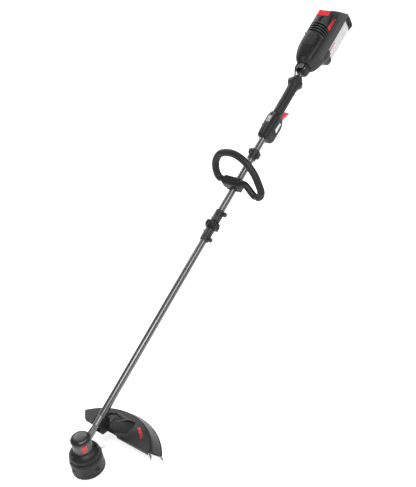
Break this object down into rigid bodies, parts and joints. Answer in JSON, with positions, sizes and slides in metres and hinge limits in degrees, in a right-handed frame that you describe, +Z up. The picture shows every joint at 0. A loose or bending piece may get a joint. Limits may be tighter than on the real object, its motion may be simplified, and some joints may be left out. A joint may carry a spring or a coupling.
{
  "type": "string trimmer",
  "caption": "Battery string trimmer: straight split shaft, loop front handle, rear grip with trigger, line head with motor above it, guard and rear battery housing.",
  "frame": {"origin": "centre of the flat foot of the bump knob under the cutting head", "axes": "+Z up along the cutting head's spin axis, +X towards the user along the shaft's rise, -Y is the user's left"},
  "size_m": [1.8602, 0.375, 1.0567],
  "materials": {
    "matte_black": "fine moulded texture",
    "dark_plastic": "moulded",
    "soft_rubber": "soft over-mould",
    "cast_alloy": "die cast, satin",
    "case_alloy": "turned, satin grey",
    "tube_alloy": "anodised gunmetal",
    "steel": "zinc plated",
    "red_plastic": "semi gloss",
    "white_plastic": "semi gloss",
    "silver_plastic": "satin silver",
    "copper_winding": "wound copper",
    "board_green": "solder mask",
    "nylon_line": "monofilament"
  },
  "bodies": {
    "main": {"upper_tube": "tube_alloy", "coupler_upper": "matte_black", "coupler_bolt_2": "steel", "switch_shell_left": "matte_black", "switch_shell_right": "matte_black", "mode_panel": "silver_plastic", "trigger_pin": "steel", "microswitch": "dark_plastic", "rear_grip": "soft_rubber", "neck_clamp": "cast_alloy", "neck_screw": "steel", "cable_conduit": "dark_plastic", "housing_left": "matte_black", "housing_right": "matte_black", "top_cover": "dark_plastic", "controller_board": "board_green", "terminal_block": "dark_plastic"},
    "lower_shaft": {"lower_tube": "tube_alloy", "coupler_lower": "matte_black", "coupler_bolt_1": "steel", "motor_bracket": "cast_alloy", "guard": "matte_black", "guard_shoe": "dark_plastic", "guard_bolt_1": "steel", "guard_bolt_2": "steel", "line_cutter": "steel", "cone_cover": "matte_black", "cover_screw_1": "steel", "cover_screw_2": "steel", "motor_case": "case_alloy", "motor_cap": "case_alloy", "bearing_lower": "steel", "bearing_upper": "steel", "stator": "copper_winding"},
    "cutting_head": {"spool_housing": "matte_black", "ring_cover": "dark_plastic", "eyelet_1": "steel", "eyelet_2": "steel", "line_tail": "nylon_line", "output_shaft": "steel", "rotor": "steel"},
    "spool": {"spool": "dark_plastic", "line_winding": "nylon_line"},
    "bump_knob": {"bump_knob": "matte_black", "head_spring": "steel"},
    "coupler_nut": {"coupler_nut": "dark_plastic"},
    "front_handle": {"loop_grip": "soft_rubber", "handle_frame": "matte_black", "handle_clamp": "dark_plastic", "handle_bolt_1": "steel", "handle_bolt_2": "steel"},
    "hanger": {"hanger_clamp": "matte_black", "hanger_screw": "steel"},
    "trigger": {"trigger": "red_plastic"},
    "lockoff_button": {"lockoff_button": "red_plastic"},
    "mode_button": {"mode_button": "dark_plastic"},
    "battery": {"battery_case": "white_plastic", "battery_cap": "dark_plastic"},
    "battery_latch": {"battery_latch": "red_plastic"}
  },
  "joints": [
    {"name": "lower_shaft_pull", "type": "slide", "parent": "main", "child": "lower_shaft", "axis": [-0.8829, 0, -0.4695], "range_m": [0, 0.12]},
    {"name": "head_spin", "type": "hinge", "parent": "lower_shaft", "child": "cutting_head", "pos_m": [0, 0, 0.06], "axis": [0, 0, 1], "continuous": true},
    {"name": "spool_wind", "type": "hinge", "parent": "cutting_head", "child": "spool", "pos_m": [0, 0, 0.043], "axis": [0, 0, 1], "continuous": true},
    {"name": "bump_press", "type": "slide", "parent": "spool", "child": "bump_knob", "axis": [0, 0, 1], "range_m": [0, 0.006], "stiffness_N_per_m": 900, "springref_m": -0.006, "deforming": ["head_spring"]},
    {"name": "coupler_nut_turn", "type": "hinge", "parent": "main", "child": "coupler_nut", "pos_m": [0.80701, 0, 0.5301], "axis": [0.8829, 0, 0.4695], "range_deg": [0, 540]},
    {"name": "front_handle_slide", "type": "slide", "parent": "main", "child": "front_handle", "axis": [0.8829, 0, 0.4695], "range_m": [-0.09, 0.09]},
    {"name": "hanger_slide", "type": "slide", "parent": "main", "child": "hanger", "axis": [0.8829, 0, 0.4695], "range_m": [-0.05, 0.05]},
    {"name": "trigger_pull", "type": "hinge", "parent": "main", "child": "trigger", "pos_m": [1.27118, 0, 0.75198], "axis": [0, -1, 0], "range_deg": [0, 10], "stiffness_Nm_per_rad": 0.5, "springref_deg": -11.46},
    {"name": "lockoff_press", "type": "slide", "parent": "main", "child": "lockoff_button", "axis": [0, -1, 0], "range_m": [0, 0.004], "stiffness_N_per_m": 500, "springref_m": -0.003},
    {"name": "mode_press", "type": "slide", "parent": "main", "child": "mode_button", "axis": [0.4695, 0, -0.8829], "range_m": [0, 0.0015], "stiffness_N_per_m": 800, "springref_m": -0.0015},
    {"name": "battery_slide", "type": "slide", "parent": "main", "child": "battery", "axis": [0.8829, 0, 0.4695], "range_m": [0, 0.2]},
    {"name": "latch_press", "type": "slide", "parent": "main", "child": "battery_latch", "axis": [0.4695, 0, -0.8829], "range_m": [0, 0.003], "stiffness_N_per_m": 1200, "springref_m": -0.003}
  ]
}
